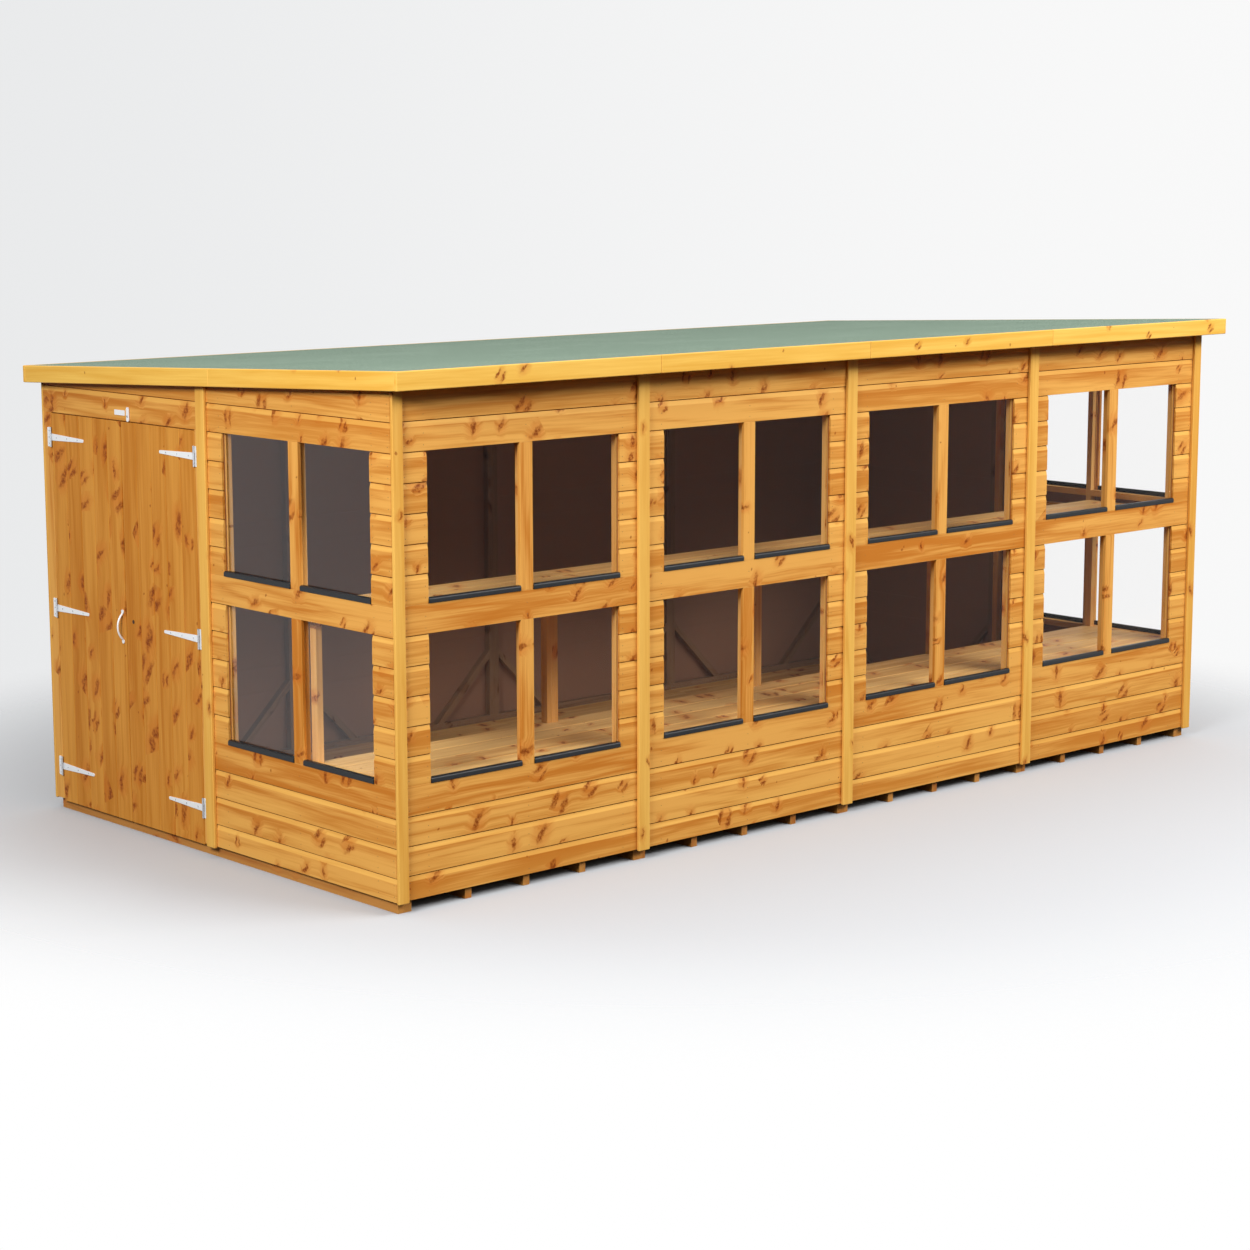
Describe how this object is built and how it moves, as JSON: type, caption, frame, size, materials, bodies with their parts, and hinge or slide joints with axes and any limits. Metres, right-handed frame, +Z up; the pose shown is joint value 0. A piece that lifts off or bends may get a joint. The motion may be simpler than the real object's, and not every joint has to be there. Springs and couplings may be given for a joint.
{
  "type": "potting shed",
  "caption": "Timber pent-roof potting shed with tiers of panes along the front and ends, double doors in one end and a two-tier staging bench inside.",
  "frame": {"origin": "on the ground under the middle of the roof's outline", "axes": "+X along the front from the door end, +Y from the window front to the back wall, +Z up"},
  "size_m": [5.006, 2.614, 2.0462],
  "materials": {
    "board_timber": "honey dip-treated softwood, shiplap boards with knots",
    "door_timber": "honey dip-treated softwood, upright tongued boards",
    "strip_timber": "pale golden planed softwood",
    "frame_timber": "sawn softwood framing",
    "planed_timber": "pale planed softwood",
    "window_glass": "clear sheet glass",
    "sill_plastic": "dark slate moulded strip",
    "roof_felt": "green mineral-faced bitumen felt",
    "white_metal": "bright white-painted steel",
    "zinc_steel": "zinc-plated steel"
  },
  "bodies": {
    "shed": {"floor_joists": "frame_timber", "floor_boards": "planed_timber", "front_frame_1": "frame_timber", "front_cladding_1": "board_timber", "back_frame_1": "frame_timber", "back_cladding_1": "board_timber", "front_frame_2": "frame_timber", "front_cladding_2": "board_timber", "back_frame_2": "frame_timber", "back_cladding_2": "board_timber", "front_frame_3": "frame_timber", "front_cladding_3": "board_timber", "back_frame_3": "frame_timber", "back_cladding_3": "board_timber", "front_frame_4": "frame_timber", "front_cladding_4": "board_timber", "back_frame_4": "frame_timber", "back_cladding_4": "board_timber", "left_window_frame": "frame_timber", "left_window_cladding": "board_timber", "door_panel_frame": "frame_timber", "door_panel_cladding": "board_timber", "right_window_frame": "frame_timber", "right_window_cladding": "board_timber", "right_plain_frame": "frame_timber", "right_plain_cladding": "board_timber", "front_glazing": "window_glass", "end_glazing": "window_glass", "glazing_beads": "frame_timber", "front_sills": "sill_plastic", "end_sills": "sill_plastic", "corner_strips": "strip_timber", "joint_strips": "strip_timber", "roof_rafters": "frame_timber", "roof_boards": "frame_timber", "roof_felt": "roof_felt", "fascia_front": "strip_timber", "fascia_back": "strip_timber", "fascia_left": "strip_timber", "fascia_right": "strip_timber", "bench_legs": "frame_timber", "bench_bearers": "frame_timber", "upper_shelf": "planed_timber", "lower_shelf": "planed_timber", "hinge_plates": "white_metal", "hinge_pins": "zinc_steel", "frame_screws": "zinc_steel", "bare_plate": "white_metal"},
    "left_door": {"left_door_boards": "door_timber", "left_door_ledges": "frame_timber", "left_door_straps": "white_metal", "left_strap_screws": "zinc_steel", "pull_handle": "white_metal", "lock_keeper": "zinc_steel"},
    "right_door": {"right_door_boards": "door_timber", "right_door_ledges": "frame_timber", "right_door_straps": "white_metal", "right_strap_screws": "zinc_steel", "door_lock": "zinc_steel"},
    "button": {"turn_button": "white_metal"}
  },
  "joints": [
    {"name": "left_door_hinge", "type": "hinge", "parent": "shed", "child": "left_door", "pos_m": [-2.455, 1.1755, 0.892], "axis": [0, 0, -1], "range_deg": [0, 150]},
    {"name": "right_door_hinge", "type": "hinge", "parent": "shed", "child": "right_door", "pos_m": [-2.455, 0.0835, 0.892], "axis": [0, 0, 1], "range_deg": [0, 150]},
    {"name": "turn_button_pivot", "type": "hinge", "parent": "shed", "child": "button", "pos_m": [-2.4545, 0.5625, 1.76], "axis": [1, 0, 0], "range_deg": [0, 180]}
  ]
}
